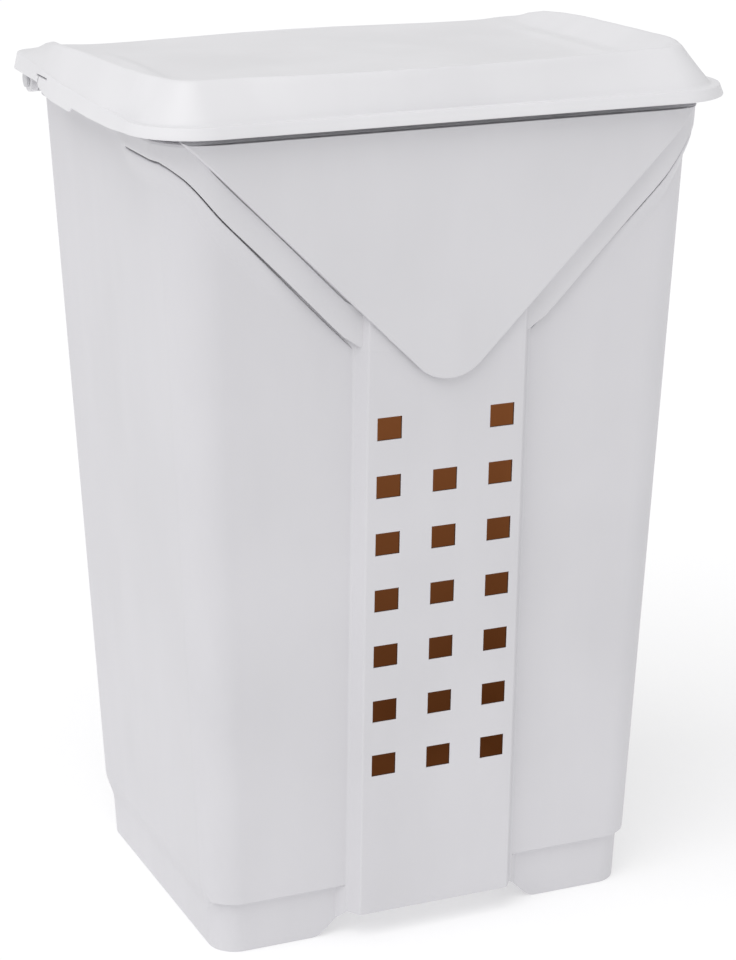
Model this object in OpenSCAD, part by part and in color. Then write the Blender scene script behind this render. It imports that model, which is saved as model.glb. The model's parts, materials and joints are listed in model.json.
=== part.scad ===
// Laundry hamper with a hinged lid, moulded in white plastic.
// Tapered tub, clip-on collar with a V-shaped front flap, and a lid that turns on
// two hinge pins at the rear corners. Front is -Y, the rear -Y to +Y is the depth, up is +Z.
// The origin is on the floor, under the middle of the lid's outline.

/* [Tub] */
// Width of the tub at the floor
base_w = 319; // [290:1:330]
// Depth of the tub at the floor
base_d = 245; // [225:1:255]
// Width of the tub at its rim
rim_w = 371; // [350:1:380]
// Depth of the tub at its rim
rim_d = 287; // [275:1:295]
// Height of the tub's rim above the floor
rim_z = 556; // [540:1:570]
// Radius of the tub's upright corners at the floor
base_r = 24; // [16:1:30]
// Radius of the tub's upright corners at the rim
rim_r = 30; // [22:1:36]
// Thickness of every moulded wall
wall = 2.4; // [1.8:0.1:3]
// How far the tub stands behind the lid's middle
tub_y = 4; // [2:1:6]

/* [Plinth] */
// Height of the stepped-in plinth
plinth_h = 38; // [30:1:46]
// How far the plinth steps in from the walls
plinth_in = 4.5; // [3:0.5:6]
// Height of the arch between the feet, which is also the underside of the floor
arch_h = 18; // [12:1:20]
// Width of the arch at the floor
arch_w = 162; // [150:1:180]

/* [Front strip] */
// Width of the raised strip's face
strip_w = 112; // [100:1:120]
// How far the strip stands proud of the front wall
strip_out = 9.5; // [7:0.5:11]
// Width of the slope on each side of the strip
strip_side = 6.5; // [5:0.5:10]
// Height of the strip's top end, behind the flap
strip_top = 452; // [446:1:458]
// Width of the vent holes
hole_w = 17; // [12:0.5:18]
// Height of the vent holes
hole_h = 15.5; // [12:0.5:18]
// Spacing of the hole columns
col_pitch = 40.5; // [36:0.5:42]
// Spacing of the hole rows
row_pitch = 40; // [36:1:42]
// Height of the top row's centre
row_top = 370; // [360:1:372]
// Number of hole rows
rows = 7; // [5:1:7]

/* [Collar] */
// How far the collar's band stands proud of the tub
band_out = 5.4; // [4.5:0.1:6]
// Height of the collar's top face
collar_z = 566; // [562:1:568]
// Height where the two slopes of the band's lower edge would meet
band_v = 361; // [350:1:370]
// Height of the collar's lower edge along the rear of the sides and the back
skirt_z = 559; // [557:0.5:560]
// Where the lower edge steps up, in front of the lid's middle
skirt_y = 45; // [30:1:70]
// Width of the collar's frame, seen from above
frame_w = 15; // [12:1:20]

/* [Flap] */
// Height where the two slopes of the flap's edge would meet
flap_v = 388; // [384:1:394]
// Radius of the flap's rounded tip
flap_tip_r = 31; // [20:1:36]
// How far the flap's face is in front of the tub's middle, at its top
flap_y = 154; // [153:0.5:155]
// Lean of the flap, whose top is further forward, in degrees from upright
flap_lean = 0.6; // [0.3:0.1:0.7]

/* [Lid] */
// Width of the lid's flange, at the front
lid_w = 416; // [408:1:424]
// Width of the lid's flange, at the rear
lid_rear_w = 401; // [398:1:416]
// Depth of the lid's flange
lid_d = 320; // [314:1:324]
// Height of the flange's lower edge
lid_z = 571; // [570:1:573]
// Height of the flange
flange_h = 7.5; // [6:0.5:9]
// How far the flange's sides hang below its front, at their deepest
side_drop = 7.5; // [0:0.5:8]
// Width of the flange's flat ledge
ledge = 7; // [5:0.5:9]
// Radius of the flange's front corners
front_r = 46; // [36:1:54]
// Radius of the flange's rear corners
rear_r = 16; // [10:1:22]
// Height of the ridge at the front
ridge_front_z = 605; // [600:1:610]
// Height of the ridge at the rear
ridge_rear_z = 594; // [592:1:598]
// Distance of the ridge's crest from the flange's edge
ridge_in = 21; // [18:1:24]
// Height of the sunken panel
panel_z = 588; // [586:0.5:589]
// Width of the slope from the ridge down to the panel
panel_slope = 20; // [14:1:26]
// Distance of the lid's resting rib from the flange's edge
rib_in = 28; // [26:1:31]
// Gap between the closed lid's rib and the collar
rest_gap = 0.3; // [0.2:0.1:0.5]

/* [Hinge] */
// Diameter of the hinge pins
pin_d = 6; // [5:0.5:7]
// Running clearance of the lid on each pin, on the radius
pin_gap = 0.08; // [0.05:0.01:0.1]
// Radius of the hinge lugs
lug_r = 9; // [8:0.5:10]
// Distance of the hinge axis behind the lid's middle
axis_y = 150; // [149:0.5:152]
// Height of the hinge axis
axis_z = 563; // [562:0.5:564]
// Distance of the lid lugs' outer faces from the middle
lug_x = 190; // [188:0.5:191]
// Thickness of the lid lugs
lug_t = 6; // [5:0.5:7]

/* [Hidden] */
white = [0.90, 0.90, 0.92];
flat = 0.01;               // thickness of the slices that a hull joins
fn_corner = 40;
fn_pin = 64;
fit = 0.4;                 // clearance between the tub and the collar
cut = 1;                   // how far a cutter runs past the faces it cuts
floor_z = arch_h + wall;
lean_w = (rim_w - base_w) / rim_z;
lean_d = (rim_d - base_d) / rim_z;
strip_half = strip_w / 2;
strip_foot = strip_half + strip_side;
strip_slant = sqrt(pow(strip_side, 2) + pow(strip_out, 2));
strip_back = 8;            // how far the strip's solid reaches behind the wall's face
lip_h = 14;                // height of the collar's lip, below the rim
flap_back = 30;            // depth of the block the flap is cut from
flap_sink = 0.5;           // how far the flap sinks into the band
head_d = 11;
head_t = 2;
side_gap = 0.4;            // gap between the lid lugs and the collar's brackets
bracket_x = lug_x - lug_t - side_gap;
bracket_t = 9.6;
bracket_y = 122;           // front end of the brackets
edge_r = 1.5;

function tub_w(z) = base_w + lean_w * z;
function tub_d(z) = base_d + lean_d * z;
function tub_r(z) = base_r + (rim_r - base_r) * z / rim_z;
function front_y(z, out) = tub_y - tub_d(z) / 2 - out;

// ---------- shared shapes ----------

// Rectangle with rounded corners, made of exact squares and circles
module round_rect(w, d, r) {
    square([w - 2 * r, d], center = true);
    square([w, d - 2 * r], center = true);
    for (x = [-1, 1], y = [-1, 1])
        translate([x * (w / 2 - r), y * (d / 2 - r)]) circle(r, $fn = fn_corner);
}

// Thin slice of the tub's outline at height z, grown outwards by out
module tub_slice(z, out) {
    translate([0, tub_y, z])
        linear_extrude(flat)
            round_rect(tub_w(z) + 2 * out, tub_d(z) + 2 * out, max(tub_r(z) + out, 2));
}

// Solid tapered like the tub between two heights, grown outwards by out
module tub_taper(z0, z1, out) {
    hull() {
        tub_slice(z0, out);
        tub_slice(z1 - flat, out);
    }
}

// The raised strip: a flat face with sloping sides, leaning like the front wall
module strip_solid(z0, z1, out) {
    hull()
        for (z = [z0, z1])
            translate([0, 0, z]) linear_extrude(flat) strip_outline(z, out);
}

module strip_outline(z, out) {
    face = strip_half + out * (strip_slant - strip_side) / strip_out;
    foot = strip_foot + out * strip_slant / strip_out;
    polygon([
        [-face, front_y(z, strip_out + out)],
        [face, front_y(z, strip_out + out)],
        [foot, front_y(z, 0)],
        [foot, front_y(z, -strip_back)],
        [-foot, front_y(z, -strip_back)],
        [-foot, front_y(z, 0)]
    ]);
}

// Upright plate: a shape drawn in X and Z, with its thickness along Y
module upright(y0, y1) {
    translate([0, y1, 0]) rotate([90, 0, 0]) linear_extrude(y1 - y0) children();
}

// Everything above a pair of 45 degree slopes that meet at height v
module above_v(v, top) {
    reach = top - v;
    polygon([[0, v], [reach, top], [-reach, top]]);
}

// ---------- tub ----------

module vent_holes() {
    for (row = [0 : rows - 1], col = [-1 : 1])
        if (row > 0 || col != 0)
            translate([col * col_pitch, front_y(row_top, strip_out), row_top - row * row_pitch])
                cube([hole_w, 4 * strip_out, hole_h], center = true);
}

// Opening between the feet, with 45 degree ends, through front and rear walls
module arch() {
    upright(tub_y - base_d, tub_y + base_d)
        polygon([
            [-arch_w / 2 - cut, -cut],
            [arch_w / 2 + cut, -cut],
            [arch_w / 2 - arch_h, arch_h],
            [-arch_w / 2 + arch_h, arch_h]
        ]);
}

module tub() {
    color(white) difference() {
        union() {
            tub_taper(0, plinth_h + wall, -plinth_in);
            hull() {
                tub_slice(plinth_h, -edge_r);
                tub_slice(plinth_h + edge_r, 0);
                tub_slice(rim_z - flat, 0);
            }
            strip_solid(arch_h, strip_top, 0);
        }
        // inside: the store, its narrower foot, and the back of the strip
        tub_taper(plinth_h + wall, rim_z + cut, -wall);
        tub_taper(floor_z, plinth_h + 2 * wall, -plinth_in - wall);
        strip_solid(floor_z, strip_top - wall, -wall);
        // underside of the floor
        tub_taper(-cut, arch_h, -plinth_in - wall);
        arch();
        vent_holes();
    }
}

// ---------- collar with its V-shaped flap ----------

module collar_ring() {
    difference() {
        tub_taper(band_v + strip_half, collar_z, band_out);
        tub_taper(band_v, rim_z, band_out - wall);
        frame_opening();
        // the lower edge: two slopes at the front, level along the sides and rear
        upright(-lid_d, lid_d)
            polygon([
                [0, band_v], [rim_w, band_v + rim_w], [rim_w, 0], [-rim_w, 0], [-rim_w, band_v + rim_w]
            ]);
        translate([-rim_w, -skirt_y, 0]) cube([2 * rim_w, lid_d, skirt_z]);
        strip_solid(band_v, strip_top + 2, fit);
    }
}

// Opening through the collar's frame, over the tub's mouth
module frame_opening() {
    in = frame_w - wall;
    translate([0, tub_y, rim_z - cut])
        linear_extrude(collar_z - rim_z + 2 * cut)
            round_rect(rim_w - 2 * in, rim_d - 2 * in, rim_r - in);
}

// Lip that drops inside the tub's rim
module collar_lip() {
    difference() {
        tub_taper(rim_z - lip_h, collar_z - wall, -wall - fit);
        tub_taper(rim_z - lip_h - cut, collar_z, -2 * wall - fit);
    }
}

module flap_shape(grow, top) {
    offset(r = flap_tip_r - grow, $fn = 96)
        offset(delta = -flap_tip_r)
            above_v(flap_v, top + 3 * flap_tip_r);
}

// Solid whose outside carries the flap round the collar's front corners
module flap_reach() {
    hull() {
        tub_slice(flap_v, flap_face(flap_v) + flap_sink);
        tub_slice(collar_z - flat, flap_face(collar_z) + flat);
    }
}

// How far the flap's face is in front of the tub's wall at height z
function flap_face(z) = flap_y - tub_d(z) / 2 - (collar_z - z) * tan(flap_lean);

module flap() {
    intersection() {
        translate([0, tub_y - flap_y, collar_z]) rotate([flap_lean, 0, 0])
            translate([0, 0, -collar_z])
                difference() {
                    upright(0, flap_back) flap_shape(0, collar_z);
                    upright(wall, flap_back + cut) flap_shape(wall, collar_z);
                    // free edge over the strip
                    translate([-strip_foot - fit, wall, 0])
                        cube([2 * (strip_foot + fit), flap_back, strip_top + strip_back]);
                }
        difference() {
            flap_reach();
            tub_taper(band_v, collar_z + cut, band_out - flap_sink);
        }
    }
}

// Seat for a hinge bracket, cut through the frame's rear corner
module bracket_seat() {
    translate([bracket_x - bracket_t, bracket_y - fit, axis_z - lug_r - cut])
        cube([bracket_t + side_gap, lid_d, 2 * lug_r + 2 * cut]);
}

module collar() {
    color(white) difference() {
        union() {
            collar_ring();
            collar_lip();
            flap();
        }
        for (side = [0, 1]) mirror([side, 0, 0]) bracket_seat();
    }
}

// ---------- hinge brackets ----------

// Bracket that slots into the collar's rear corner and holds the pin
module hinge_bracket() {
    difference() {
        union() {
            translate([bracket_x - bracket_t, axis_y, axis_z])
                rotate([0, 90, 0]) cylinder(h = bracket_t, r = lug_r, $fn = fn_pin);
            translate([bracket_x - bracket_t, bracket_y, rim_z + 1])
                cube([bracket_t, axis_y - bracket_y, collar_z - rim_z - 1]);
        }
        translate([bracket_x - bracket_t - cut, axis_y, axis_z])
            rotate([0, 90, 0]) cylinder(h = bracket_t + 2 * cut, d = pin_d, $fn = fn_pin);
    }
}

module hinge_bracket_left() {
    color(white) mirror([1, 0, 0]) hinge_bracket();
}

module hinge_bracket_right() {
    color(white) hinge_bracket();
}

// ---------- lid ----------

// The flange's outline, moved in by a distance: wide radius in front, narrower and tight at the rear
module lid_outline(in) {
    w = lid_w / 2 - in;
    rw = lid_rear_w / 2 - in;
    d = lid_d / 2 - in;
    fr = max(front_r - in, 4);
    rr = max(rear_r - in, 2);
    polygon(concat(
        [for (a = [180 : 6 : 270]) [-w + fr + fr * cos(a), -d + fr + fr * sin(a)]],
        [for (a = [270 : 6 : 360]) [w - fr + fr * cos(a), -d + fr + fr * sin(a)]],
        [for (a = [0 : 10 : 90]) [rw - rr + rr * cos(a), d - rr + rr * sin(a)]],
        [for (a = [90 : 10 : 180]) [-rw + rr + rr * cos(a), d - rr + rr * sin(a)]]
    ));
}

// Steep-sided crown whose top falls towards the rear
module lid_crown(in) {
    fall = atan((ridge_front_z - ridge_rear_z) / (lid_d - 2 * ridge_in));
    hull() {
        translate([0, 0, lid_z + flange_h - in]) linear_extrude(flat) lid_outline(ledge + in);
        translate([0, 0, (ridge_front_z + ridge_rear_z) / 2 - in])
            rotate([-fall, 0, 0]) linear_extrude(flat) lid_outline(ridge_in + in / 2);
    }
}

// Space over the sunken panel, open at the rear
module panel_space(in) {
    low = ridge_in + panel_slope - in;
    hull() {
        translate([0, 0, panel_z - in]) panel_slice(low);
        translate([0, 0, panel_z - in + 2 * panel_slope]) panel_slice(low - 2 * panel_slope);
    }
}

module panel_slice(in) {
    linear_extrude(flat) {
        lid_outline(in);
        translate([in - lid_w / 2, 0]) square([lid_w - 2 * in, lid_d]);
    }
}

module lid_lug() {
    translate([lug_x - lug_t, axis_y, axis_z])
        rotate([0, 90, 0]) cylinder(h = lug_t, r = lug_r, $fn = fn_pin);
    translate([lug_x - lug_t, axis_y - lug_r, axis_z])
        cube([lug_t, lug_r + 3, lid_z + flange_h - wall / 2 - axis_z]);
}

// Rib under the lid that rests over the collar's frame
module lid_rib() {
    intersection() {
        translate([0, 0, collar_z + rest_gap])
            linear_extrude(ridge_front_z - collar_z) difference() {
                lid_outline(rib_in);
                lid_outline(rib_in + wall);
            }
        difference() {
            union() {
                lid_crown(wall / 2);
                translate([0, 0, collar_z]) linear_extrude(lid_z + flange_h - collar_z) lid_outline(rib_in);
            }
            panel_space(wall / 2);
        }
    }
}

// Lower part of the flange's sides: it deepens towards the middle of each side
module lid_sides() {
    front = -lid_d / 2 + front_r;
    intersection() {
        translate([0, 0, lid_z - side_drop]) linear_extrude(side_drop + cut) difference() {
            lid_outline(0);
            lid_outline(wall);
        }
        rotate([90, 0, 90]) linear_extrude(lid_w, center = true) polygon([
            [front, lid_z + cut], [front, lid_z], [0, lid_z - side_drop / 2],
            [lid_d / 40, lid_z - side_drop], [lid_d / 6, lid_z - side_drop],
            [lid_d / 4, lid_z - side_drop / 2], [lid_d / 3.6, lid_z], [lid_d / 3.6, lid_z + cut]
        ]);
    }
}

module lid() {
    color(white) difference() {
        union() {
            difference() {
                union() {
                    translate([0, 0, lid_z]) linear_extrude(flange_h) lid_outline(0);
                    lid_crown(0);
                }
                panel_space(0);
                // hollow underside, stopped by the panel's own thickness
                difference() {
                    union() {
                        translate([0, 0, lid_z - cut])
                            linear_extrude(flange_h - wall + cut) lid_outline(wall);
                        lid_crown(wall);
                    }
                    panel_space(wall);
                }
            }
            lid_rib();
            lid_sides();
            for (side = [0, 1]) mirror([side, 0, 0]) lid_lug();
        }
        for (side = [0, 1]) mirror([side, 0, 0])
            translate([lug_x - lug_t - cut, axis_y, axis_z]) rotate([0, 90, 0])
                cylinder(h = lug_t + 2 * cut, r = pin_d / 2 + pin_gap, $fn = fn_pin);
    }
}

// ---------- hinge pins ----------

module hinge_pin() {
    translate([bracket_x - bracket_t + cut, axis_y, axis_z]) rotate([0, 90, 0]) {
        cylinder(h = lug_x + pin_gap * 2 - bracket_x + bracket_t - cut, d = pin_d, $fn = fn_pin);
        translate([0, 0, lug_x + pin_gap * 2 - bracket_x + bracket_t - cut])
            cylinder(h = head_t, d = head_d, $fn = fn_pin);
    }
}

module hinge_pin_left() {
    color(white) mirror([1, 0, 0]) hinge_pin();
}

module hinge_pin_right() {
    color(white) hinge_pin();
}

tub();
collar();
lid();
hinge_bracket_left();
hinge_bracket_right();
hinge_pin_left();
hinge_pin_right();
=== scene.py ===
import json
import math

import bpy
import bmesh
import numpy as np
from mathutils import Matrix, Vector


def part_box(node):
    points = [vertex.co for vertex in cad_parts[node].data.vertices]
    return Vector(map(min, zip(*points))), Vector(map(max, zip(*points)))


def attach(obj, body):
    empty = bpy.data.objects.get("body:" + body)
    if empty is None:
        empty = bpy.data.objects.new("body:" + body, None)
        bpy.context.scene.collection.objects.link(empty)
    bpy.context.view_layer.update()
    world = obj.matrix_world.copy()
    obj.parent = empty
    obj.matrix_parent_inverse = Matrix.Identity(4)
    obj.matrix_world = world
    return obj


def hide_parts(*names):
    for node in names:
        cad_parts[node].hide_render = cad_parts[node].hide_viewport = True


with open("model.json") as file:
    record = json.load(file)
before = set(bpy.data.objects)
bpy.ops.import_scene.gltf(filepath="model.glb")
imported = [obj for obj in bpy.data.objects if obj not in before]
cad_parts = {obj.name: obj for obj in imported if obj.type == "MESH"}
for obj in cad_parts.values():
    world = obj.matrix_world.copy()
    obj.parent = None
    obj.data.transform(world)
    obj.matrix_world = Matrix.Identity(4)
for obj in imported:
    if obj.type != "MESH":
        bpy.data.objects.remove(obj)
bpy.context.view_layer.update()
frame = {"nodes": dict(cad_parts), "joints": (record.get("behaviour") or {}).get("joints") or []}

# ---------- sizes, in metres, in the frame of the CAD model ----------
tub_low, tub_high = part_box("tub")
lid_low, lid_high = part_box("lid")
hinge = next(j for j in frame["joints"] if j["name"] == "lid_hinge")
AXIS_Y, AXIS_Z = hinge["pos_m"][1], hinge["pos_m"][2]

WALL = 0.0024
TUB_Y = 0.004
BASE_W, BASE_D, BASE_R = 0.319, 0.245, 0.024
RIM_Z = tub_high.z
RIM_W = tub_high.x - tub_low.x
RIM_D = 2 * (tub_high.y - TUB_Y)
RIM_R = 0.030
ROUND = 0.0009            # rounding of the free moulded edges
FLOOR_UNDER, FLOOR_TOP = 0.0192, 0.0214

PLINTH_H, PLINTH_IN = 0.038, 0.0045
PLINTH_SHARP, PLINTH_SOFT = 0.0018, 0.0232   # height of the plinth's step, in front and at the sides
ARCH_H, ARCH_W, ARCH_ROUND = 0.018, 0.162, 0.005
RUN_X = 0.086             # where the plain parts of the front and rear walls begin

STRIP_W, STRIP_OUT, STRIP_SIDE = 0.112, 0.0095, 0.0065
STRIP_FOOT = STRIP_W / 2 + STRIP_SIDE
STRIP_SLOPE = math.atan2(STRIP_OUT, STRIP_SIDE)
STRIP_FILLET = 0.002      # rounding of the strip's long edges
FOOT_FILLET = 0.003       # fillet where the strip's sides meet the wall
HOLE_W, HOLE_H, HOLE_EDGE = 0.0173, 0.0155, 0.0005
COL_PITCH, ROW_PITCH, ROW_TOP, ROWS = 0.0405, 0.040, 0.370, 7

BAND_OUT = 0.0054
BAND_V = 0.3615           # where the slopes of the band's lower edge would meet
BAND_SIDE_Z = 0.5525      # the band's lower edge at the front corners
BAND_REAR_Z = 0.561       # and along the rear half
BAND_STEP_Y = (-0.062, -0.042)
CORNER_LIFT = 0.008       # how much the slope gains where it turns the front corners
COLLAR_Z = 0.566
FRAME_IN = 0.0126         # how far the frame reaches in from the tub's outline
LIP = (-0.0028, -0.0052)  # faces of the lip inside the rim, from the tub's outline
LIP_Z = 0.542
FLARE_H, FLARE_OUT = 0.020, 0.0046          # swelling of the tub below the band, at the corners
SEAM = 0.0006
GROOVE_H, GROOVE_IN = 0.0010, 0.0015        # groove in the tub along the band's lower edge
TRENCH_Z = 0.5585         # floor of the channel between the band and the bead the lid closes on
TRENCH = (0.0026, -0.0040)

FLAP_V, FLAP_TIP_R, FLAP_FACE_Y = 0.388, 0.031, -0.150
FLAP_LEAN = math.tan(math.radians(0.6))
FLAP_ROUND = 0.0013
UNDERCUT = 0.0011         # how far the flap's return is set in behind its edge
FLAP_RISE = 0.0012        # how far the flap's top stands above the collar
SEAT_Z, SEAT_IN = 0.0243, 0.0018            # seat for the flap: height above the band's edge, and depth

LID_W = lid_high.x - lid_low.x
LID_D = lid_high.y - lid_low.y
LID_REAR_W = 0.401
LID_Z, FLANGE_H, LEDGE = 0.571, 0.0075, 0.0085
DRAFT = 0.0024            # how far the skirt leans in over its height
REAR_RISE = 0.0045        # how much higher the flange is at the rear corners
# the skirt's lower edge along the sides: Y and Z
SKIRT = ((-0.160, 0.571), (-0.114, 0.571), (-0.085, 0.5685), (-0.034, 0.567), (0.003, 0.567),
         (0.009, 0.5635), (0.051, 0.5635), (0.064, 0.5643), (0.074, 0.566), (0.084, 0.568),
         (0.088, 0.571), (0.160, 0.571))
LID_FRONT_R, LID_REAR_R = 0.046, 0.016
RIDGE_FRONT_Z = lid_high.z
# the T-shaped slit in the skirt: its reach in X, and its outline in Y and Z
SLIT_X = (0.1935, 0.2090)
SLIT = ((0.0670, 0.5766), (0.0670, 0.5752), (0.0852, 0.5752), (0.0852, 0.5600),
        (0.0868, 0.5600), (0.0868, 0.5752), (0.0900, 0.5752), (0.0900, 0.5766))
PANEL_Z = 0.588
# how far the ridge's crest is set in: along the front by X, along the sides by Y
CREST_FRONT = ((0.0, 0.014), (0.035, 0.0155), (0.066, 0.019), (0.098, 0.023), (0.130, 0.029),
               (0.163, 0.031))
CREST_SIDE = ((-0.114, 0.026), (-0.100, 0.0225), (-0.089, 0.020), (-0.048, 0.017), (0.008, 0.015),
              (0.055, 0.012), (0.080, 0.013), (0.117, 0.017))
# the crest's height from its highest point by Y, and the width of the slope down to the panel
CREST_Z = ((-0.146, 0.0), (-0.080, -0.0002), (-0.060, -0.001), (-0.016, -0.002), (0.029, -0.0032),
           (0.070, -0.005), (0.098, -0.007), (0.117, -0.0105), (0.128, -0.014), (0.140, -0.0175),
           (0.160, -0.020))
SLOPE_W = ((-0.130, 0.024), (-0.089, 0.028), (0.029, 0.025), (0.069, 0.020), (0.121, 0.010))
RIB_IN, REST_GAP = 0.028, 0.0003

LUG_X, LUG_T, LUG_R = 0.190, 0.006, 0.009   # outer face, thickness and radius of the hinge lugs
LUG_EDGE = 0.0007
PART_EDGE, PART_WELD = 0.0004, 0.00002      # rounding and welding of the brackets and pins

# heights of the rows above the band's lower edge, as shares of the way to the rim, and whether
# the raised strip is still there
UPPER_ROWS = ((0.19, 1), (0.26, 0), (0.45, 0), (0.7, 0))
HOLE_COLS = (3, 4, 5)     # columns round the right-hand vent holes
COLLAR_TONGUE_Z = 0.4545  # the collar's lower edge where it crosses the strip, behind the flap

# ---------- colours, light and camera ----------
TUB_COLOR = (0.690, 0.682, 0.708)
COLLAR_COLOR = (0.695, 0.688, 0.712)
LID_COLOR = (0.790, 0.785, 0.805)
PIN_COLOR = (0.66, 0.66, 0.68)
INSIDE_COLOR = (0.70, 0.69, 0.70)
# painted shade for the tub's inside: warm brown at the vent rows, darker low down
SHADE_TOP, SHADE_LOW = (0.36, 0.150, 0.054), (0.14, 0.049, 0.014)
# painted shade for the walls inside the vent holes
VENT_SHADE_COLOR = (0.070, 0.028, 0.012)
FLOOR_COLORS = ((0.60, 0.60, 0.605), (0.62, 0.62, 0.625))
FLOOR_GLOW = 0.42
FLOOR_SIZE = 40
WORLD_STRENGTH = 0.65
KEY_ENERGY, KEY_SPREAD = 1.25, math.radians(50)
KEY_FROM = Vector((-0.45, -0.28, 0.85))
TARGET = Vector((0.00654, 0.004, 0.28658))
AZIMUTH, ELEVATION = math.radians(-23.198), math.radians(17.604)
DISTANCE = 1.9847
SENSOR = 36
FOCAL_SHARE = 2.911042    # focal length over the frame's long side


# ---------- small tools ----------

def smooth(t):
    t = np.clip(t, 0.0, 1.0)
    return t * t * (3 - 2 * t)


def soft_min(a, b, k):
    """The smaller of a and b, with the crease between them rounded over about k."""
    h = np.clip(0.5 + 0.5 * (b - a) / k, 0.0, 1.0)
    return b * (1 - h) + a * h - k * h * (1 - h)


def soft_max(a, b, k):
    return -soft_min(-a, -b, k)


def new_object(name, verts, faces, materials, face_slots=None, sharp=35):
    mesh = bpy.data.meshes.new(name)
    mesh.from_pydata([tuple(map(float, v)) for v in verts], [], [tuple(f) for f in faces])
    mesh.validate()
    for material in materials:
        mesh.materials.append(material)
    if face_slots is not None:
        mesh.polygons.foreach_set("material_index", np.array(face_slots, np.int32))
    obj = bpy.data.objects.new(name, mesh)
    bpy.context.scene.collection.objects.link(obj)
    finish_mesh(obj, sharp)
    return obj


def finish_mesh(obj, sharp=35):
    """Smooth shading with creases kept, and normals that leave flat faces flat."""
    mesh = obj.data
    mesh.polygons.foreach_set("use_smooth", np.ones(len(mesh.polygons), bool))
    mesh.set_sharp_from_angle(angle=math.radians(sharp))
    weighted = obj.modifiers.new("even_normals", "WEIGHTED_NORMAL")
    weighted.keep_sharp = True
    weighted.weight = 60


def mirrored(half):
    """Closes a half outline, given from the front's middle round +X to the rear's middle."""
    other = half[-2:0:-1].copy()
    other[:, 0] *= -1
    return np.vstack([half, other])


def bands(rings, count):
    """Quads between each ring of count points and the next, in a list of ring numbers."""
    quads = []
    for low, high in zip(rings[:-1], rings[1:]):
        for i in range(count):
            j = (i + 1) % count
            quads.append((low * count + i, low * count + j, high * count + j, high * count + i))
    return quads


def outline_size(z, out):
    """Half width, half depth and corner radius of the tub's outline at a height, moved out."""
    share = z / RIM_Z
    w = (BASE_W + (RIM_W - BASE_W) * share) / 2 + out
    d = (BASE_D + (RIM_D - BASE_D) * share) / 2 + out
    r = np.maximum(BASE_R + (RIM_R - BASE_R) * share + out, 0.002)
    return w, d, r


# ---------- the tub's outline, as columns round half of it ----------

def fillet_profile():
    """X and depth of the strip's side, from its face out to the wall, with both corners rounded."""
    face = STRIP_W / 2
    points = []
    tangent = math.tan(STRIP_SLOPE / 2)
    for a in np.linspace(0, STRIP_SLOPE, 6):
        points.append((face - STRIP_FILLET * tangent + STRIP_FILLET * math.sin(a),
                       STRIP_OUT - STRIP_FILLET * (1 - math.cos(a))))
    points.append((face + STRIP_SIDE / 2, STRIP_OUT / 2))
    for a in np.linspace(STRIP_SLOPE, 0, 6):
        points.append((STRIP_FOOT + FOOT_FILLET * tangent - FOOT_FILLET * math.sin(a),
                       FOOT_FILLET * (1 - math.cos(a))))
    return points


HALF_W = HOLE_W / 2 + HOLE_EDGE
HALF_H = HOLE_H / 2 + HOLE_EDGE
FACE_X = [0, HALF_W, COL_PITCH / 2, COL_PITCH - HALF_W, COL_PITCH, COL_PITCH + HALF_W,
          COL_PITCH + HALF_W + 0.002]
ARCH_X = [ARCH_W / 2 + d for d in (-0.012, -0.007, -0.0035, -0.0015, 0, 0.0015, 0.003, 0.005)]
SIDE_PROFILE = fillet_profile()
CORNER_ANGLES = np.radians(np.linspace(0, 90, 15))[1:-1]
FRONT_COLS = ([("strip", x, STRIP_OUT, 0) for x in FACE_X]
              + [("strip", x, d, 1) for x, d in SIDE_PROFILE]
              + [("wall", x, 0, 0) for x in ARCH_X]
              + [("run", t, 0, 0) for t in (0.2, 0.4, 0.6, 0.8, 1.0)])
REAR_COLS = ([("rear_run", t, 0, 0) for t in (1.0, 0.66, 0.33)]
             + [("rear", x, 0, 0) for x in ARCH_X[::-1] + [ARCH_W / 2 - ARCH_H, 0.03, 0.0]])
COLS = (FRONT_COLS
        + [("corner_front", a, 0, 0) for a in CORNER_ANGLES]
        + [("side", t, 0, 0) for t in np.linspace(0, 1, 25)]
        + [("corner_rear", a, 0, 0) for a in CORNER_ANGLES]
        + REAR_COLS)
KIND = np.array([c[0] for c in COLS])
PAR = np.array([c[1] for c in COLS], float)
DEPTH = np.array([c[2] for c in COLS], float)
SHIFT = np.array([c[3] for c in COLS], float)
IS_STRIP = KIND == "strip"
COUNT = 2 * len(COLS) - 2


def half_outline(z, out, strip=1.0):
    """Points of half the tub's outline. Height and outward offset may differ from column to column."""
    z = np.broadcast_to(np.asarray(z, float), PAR.shape)
    out = np.broadcast_to(np.asarray(out, float), PAR.shape)
    w, d, r = outline_size(z, out)
    x = PAR.copy()
    y = TUB_Y - d
    x = np.where(IS_STRIP, PAR + math.tan(STRIP_SLOPE / 2) * out * SHIFT, x)
    y = np.where(IS_STRIP, TUB_Y - d - DEPTH * strip, y)
    x = np.where(KIND == "run", RUN_X + (w - r - RUN_X) * PAR, x)
    front = KIND == "corner_front"
    x = np.where(front, w - r + r * np.sin(PAR), x)
    y = np.where(front, TUB_Y - d + r - r * np.cos(PAR), y)
    side = KIND == "side"
    x = np.where(side, w, x)
    y = np.where(side, TUB_Y - d + r + (2 * d - 2 * r) * PAR, y)
    back = KIND == "corner_rear"
    x = np.where(back, w - r + r * np.cos(PAR), x)
    y = np.where(back, TUB_Y + d - r + r * np.sin(PAR), y)
    rear = (KIND == "rear") | (KIND == "rear_run")
    y = np.where(rear, TUB_Y + d, y)
    x = np.where(KIND == "rear_run", RUN_X + (w - r - RUN_X) * PAR, x)
    return np.stack([x, y, z], 1)


REFERENCE = half_outline(BAND_SIDE_Z, 0)


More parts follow.
